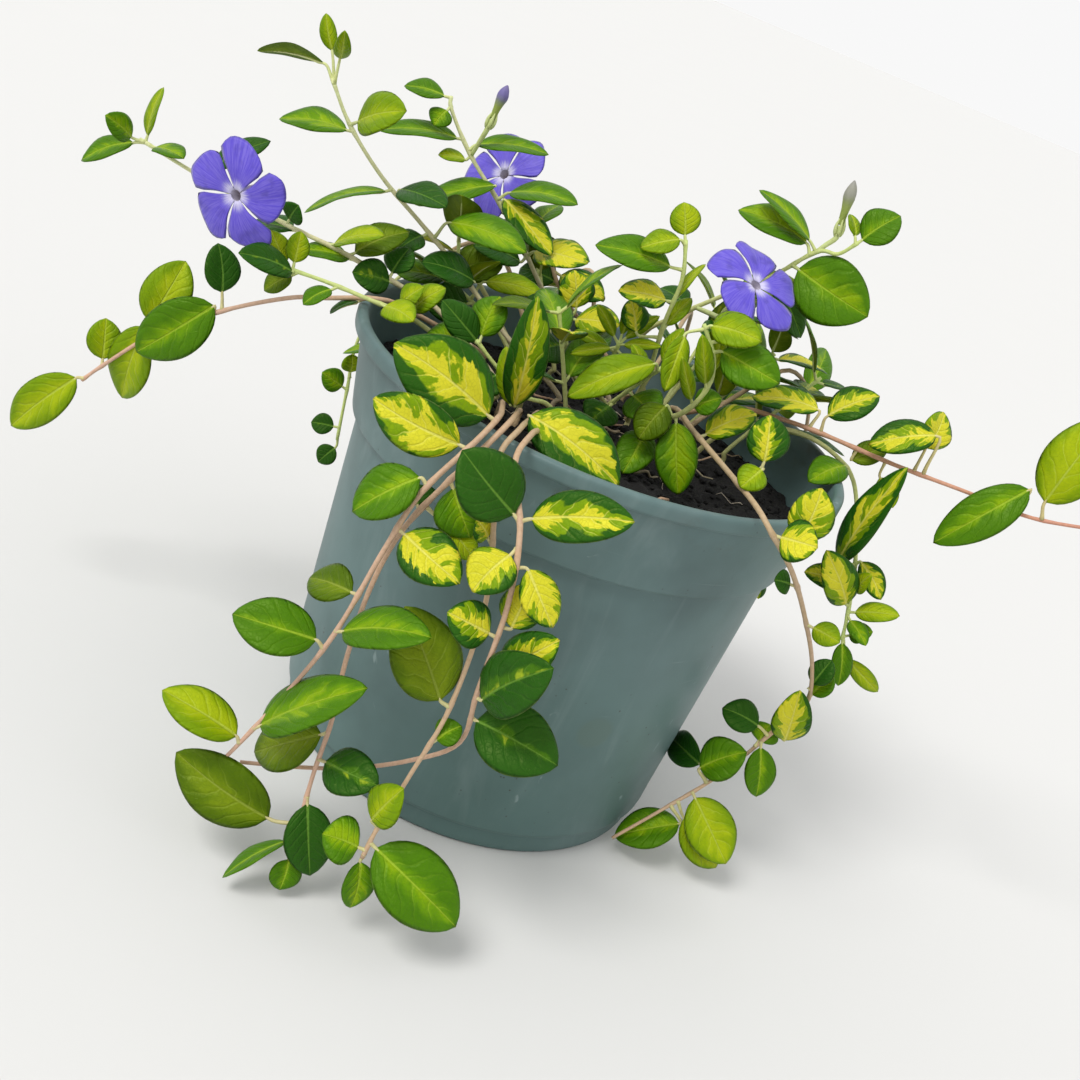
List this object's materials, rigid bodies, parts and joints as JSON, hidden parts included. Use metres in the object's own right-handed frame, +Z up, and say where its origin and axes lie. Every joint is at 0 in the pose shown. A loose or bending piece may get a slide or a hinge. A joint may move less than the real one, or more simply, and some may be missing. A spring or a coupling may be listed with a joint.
{
  "type": "potted trailing plant",
  "caption": "Round nursery pot filled with soil, from which leafy periwinkle stems rise and trail over the rim, with violet pinwheel flowers and slim buds.",
  "frame": {"origin": "centre of the pot's base disc, on the surface that it stands on", "axes": "+Z up along the pot's axis; the side seen in the picture faces -Y"},
  "size_m": [0.3394, 0.2365, 0.21],
  "materials": {
    "pot_plastic": "satin slate grey-green plastic",
    "soil": "damp peat crumbs",
    "leaf": "glossy green leaves on thin stems",
    "petal": "soft violet-blue petals",
    "bud": "rolled grey-violet buds"
  },
  "bodies": {
    "root": {"bud_1": "bud", "bud_2": "bud", "corolla_1": "petal", "corolla_2": "petal", "corolla_3": "petal", "pot": "pot_plastic", "shoot_centre_back": "leaf", "shoot_centre_light": "leaf", "shoot_centre_narrow": "leaf", "shoot_crown_1": "leaf", "shoot_crown_2": "leaf", "shoot_crown_3": "leaf", "shoot_crown_4": "leaf", "shoot_crown_5": "leaf", "shoot_crown_6": "leaf", "shoot_crown_7": "leaf", "shoot_left_dark": "leaf", "shoot_left_olive": "leaf", "shoot_right_flower": "leaf", "shoot_right_upright": "leaf", "shoot_right_young": "leaf", "shoot_rosette": "leaf", "soil": "soil", "stem_back_flower": "leaf", "stem_back_tall": "leaf", "stem_far_left": "leaf", "stem_left_flower": "leaf", "stem_left_hanging": "leaf", "stem_left_tall": "leaf", "stem_left_young": "leaf", "trail_back_1": "leaf", "trail_back_2": "leaf", "trail_back_3": "leaf", "trail_back_4": "leaf", "trail_front_left": "leaf", "trail_front_low": "leaf", "trail_front_middle": "leaf", "trail_left_side": "leaf", "trail_right_long": "leaf", "trail_right_low": "leaf", "trail_right_side": "leaf"}
  },
  "joints": []
}
